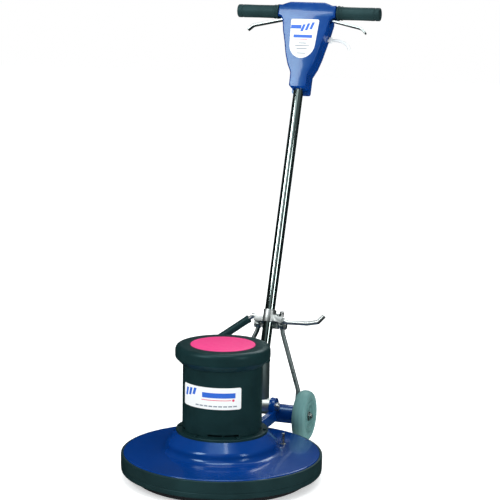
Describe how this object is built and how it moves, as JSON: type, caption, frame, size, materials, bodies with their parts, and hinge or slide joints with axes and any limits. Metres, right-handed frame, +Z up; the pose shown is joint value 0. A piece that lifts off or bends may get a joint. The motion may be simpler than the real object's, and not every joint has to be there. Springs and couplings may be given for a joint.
{
  "type": "rotary floor machine",
  "caption": "Walk-behind rotary floor machine: round deck with bumper, capped motor drum, planetary pad drive, leaning tube handle with switch levers, and rear transport wheels",
  "frame": {"origin": "centre of the pad's underside, on the floor below the spindle", "axes": "+Z up along the spindle, operator and handle behind at +Y, right-hand wheel at +X as seen from the front with -Y towards the viewer"},
  "size_m": [0.474, 0.9036, 1.0918],
  "materials": {
    "blue_enamel": "gloss enamel over cast aluminium",
    "bumper_rubber": "satin",
    "grip_rubber": "satin",
    "black_plastic": "semi-gloss moulded",
    "gland_rubber": "matte",
    "button_plastic": "satin",
    "pink_disc": "satin printed",
    "label_film": "satin film",
    "grey_tyre": "non-marking grey rubber",
    "grey_hub": "moulded",
    "silver_casting": "satin casting",
    "can_metal": "satin",
    "chrome_tube": "mirror",
    "bright_steel": "bright zinc",
    "lever_steel": "bright",
    "hook_coating": "pale coating",
    "brace_steel": "zinc",
    "gear_steel": "machined",
    "core_steel": "laminated",
    "motor_aluminium": "cast",
    "fan_plastic": "moulded",
    "driver_plastic": "moulded",
    "pad_fibre": "open nylon fibre"
  },
  "bodies": {
    "chassis": {"deck_screws": "bright_steel", "deck_housing": "blue_enamel", "bumper": "bumper_rubber", "truck_bolts": "bright_steel", "rear_truck": "blue_enamel", "feed_nipple": "bright_steel", "ring_gear": "gear_steel", "gear_cover": "motor_aluminium", "shaft_bearings": "gear_steel", "motor_flange": "black_plastic", "upper_end_bell": "motor_aluminium", "motor_shell": "motor_aluminium", "stator": "core_steel", "motor_cover": "black_plastic", "motor_cap": "black_plastic", "cap_disc": "pink_disc", "cover_label": "label_film", "capacitor_box": "can_metal", "capacitor_lid": "black_plastic", "axle": "bright_steel", "axle_nuts": "bright_steel", "hinge_pin": "bright_steel"},
    "pad_drive": {"planet_carrier": "gear_steel", "clutch_plate": "gear_steel", "pad_driver": "driver_plastic", "floor_pad": "pad_fibre"},
    "rotor": {"rotor_shaft": "gear_steel", "rotor_core": "core_steel", "cooling_fan": "fan_plastic"},
    "planet_1": {"planet_gear_1": "gear_steel"},
    "planet_2": {"planet_gear_2": "gear_steel"},
    "planet_3": {"planet_gear_3": "gear_steel"},
    "wheel_left": {"tyre_left": "grey_tyre", "wheel_hub_left": "grey_hub"},
    "wheel_right": {"tyre_right": "grey_tyre", "wheel_hub_right": "grey_hub"},
    "handle": {"handle_foot": "silver_casting", "handle_tube": "chrome_tube", "lever_pins": "bright_steel", "head_screws": "bright_steel", "head_casting": "blue_enamel", "head_rear_casting": "blue_enamel", "head_back_cover": "black_plastic", "handlebar": "bright_steel", "grip_left": "grip_rubber", "grip_right": "grip_rubber", "head_decal": "label_film", "switch_block": "black_plastic", "cord_gland": "gland_rubber"},
    "lever_left": {"switch_lever_left": "lever_steel"},
    "lever_right": {"switch_lever_right": "lever_steel"},
    "interlock": {"interlock_button": "button_plastic"},
    "hook": {"cord_hook": "hook_coating"},
    "clamp": {"height_clamp": "silver_casting", "cross_bolt": "bright_steel", "lift_grip_core": "silver_casting", "lift_grip_sleeve": "grip_rubber"},
    "braces": {"brace_left": "brace_steel", "brace_right": "brace_steel"},
    "lock": {"lock_lever": "silver_casting"}
  },
  "joints": [
    {"name": "pad_spin", "type": "hinge", "parent": "chassis", "child": "pad_drive", "pos_m": [0, 0, 0.06], "axis": [0, 0, 1], "continuous": true},
    {"name": "rotor_spin", "type": "hinge", "parent": "chassis", "child": "rotor", "pos_m": [0, 0, 0.18], "axis": [0, 0, 1], "continuous": true},
    {"name": "planet_1_spin", "type": "hinge", "parent": "pad_drive", "child": "planet_1", "pos_m": [0.0375, 0, 0.088], "axis": [0, 0, 1], "continuous": true},
    {"name": "planet_2_spin", "type": "hinge", "parent": "pad_drive", "child": "planet_2", "pos_m": [-0.01875, 0.03248, 0.088], "axis": [0, 0, 1], "continuous": true},
    {"name": "planet_3_spin", "type": "hinge", "parent": "pad_drive", "child": "planet_3", "pos_m": [-0.01875, -0.03248, 0.088], "axis": [0, 0, 1], "continuous": true},
    {"name": "wheel_left_spin", "type": "hinge", "parent": "chassis", "child": "wheel_left", "pos_m": [-0.1128, 0.287, 0.084], "axis": [1, 0, 0], "continuous": true},
    {"name": "wheel_right_spin", "type": "hinge", "parent": "chassis", "child": "wheel_right", "pos_m": [0.1128, 0.287, 0.084], "axis": [1, 0, 0], "continuous": true},
    {"name": "handle_tilt", "type": "hinge", "parent": "chassis", "child": "handle", "pos_m": [0, 0.2565, 0.108], "axis": [-1, 0, 0], "range_deg": [-15, 30]},
    {"name": "clamp_slide", "type": "slide", "parent": "handle", "child": "clamp", "axis": [0, 0.3518, 0.9361], "range_m": [-0.012, 0.024]},
    {"name": "brace_swing", "type": "hinge", "parent": "clamp", "child": "braces", "pos_m": [0, 0.34868, 0.29214], "axis": [-1, 0, 0], "range_deg": [-2, 2]},
    {"name": "lock_swing", "type": "hinge", "parent": "clamp", "child": "lock", "pos_m": [0.033, 0.3325, 0.31019], "axis": [0, -0.9361, 0.3518], "range_deg": [0, 35]},
    {"name": "lever_left_squeeze", "type": "hinge", "parent": "handle", "child": "lever_left", "pos_m": [-0.052, 0.60887, 1.04546], "axis": [0, 0.9361, -0.3518], "range_deg": [0, 3.2], "stiffness_Nm_per_rad": 2, "springref_deg": -5.73},
    {"name": "lever_right_squeeze", "type": "hinge", "parent": "handle", "child": "lever_right", "pos_m": [0.052, 0.60887, 1.04546], "axis": [0, -0.9361, 0.3518], "range_deg": [0, 3.2], "stiffness_Nm_per_rad": 2, "springref_deg": -5.73},
    {"name": "interlock_press", "type": "slide", "parent": "handle", "child": "interlock", "axis": [0, -0.3518, -0.9361], "range_m": [0, 0.0025], "stiffness_N_per_m": 300, "springref_m": -0.001},
    {"name": "hook_swivel", "type": "hinge", "parent": "handle", "child": "hook", "pos_m": [0.043, 0.61615, 0.99519], "axis": [1, 0, 0], "range_deg": [0, 180]}
  ],
  "couplings": [
    {"joint": "rotor_spin", "follows": "pad_spin", "ratio": 10},
    {"joint": "planet_1_spin", "follows": "pad_spin", "ratio": -2.25},
    {"joint": "planet_2_spin", "follows": "pad_spin", "ratio": -2.25},
    {"joint": "planet_3_spin", "follows": "pad_spin", "ratio": -2.25},
    {"joint": "clamp_slide", "follows": "handle_tilt", "m_per_rad": 0.036669},
    {"joint": "brace_swing", "follows": "handle_tilt", "ratio": -0.015}
  ]
}
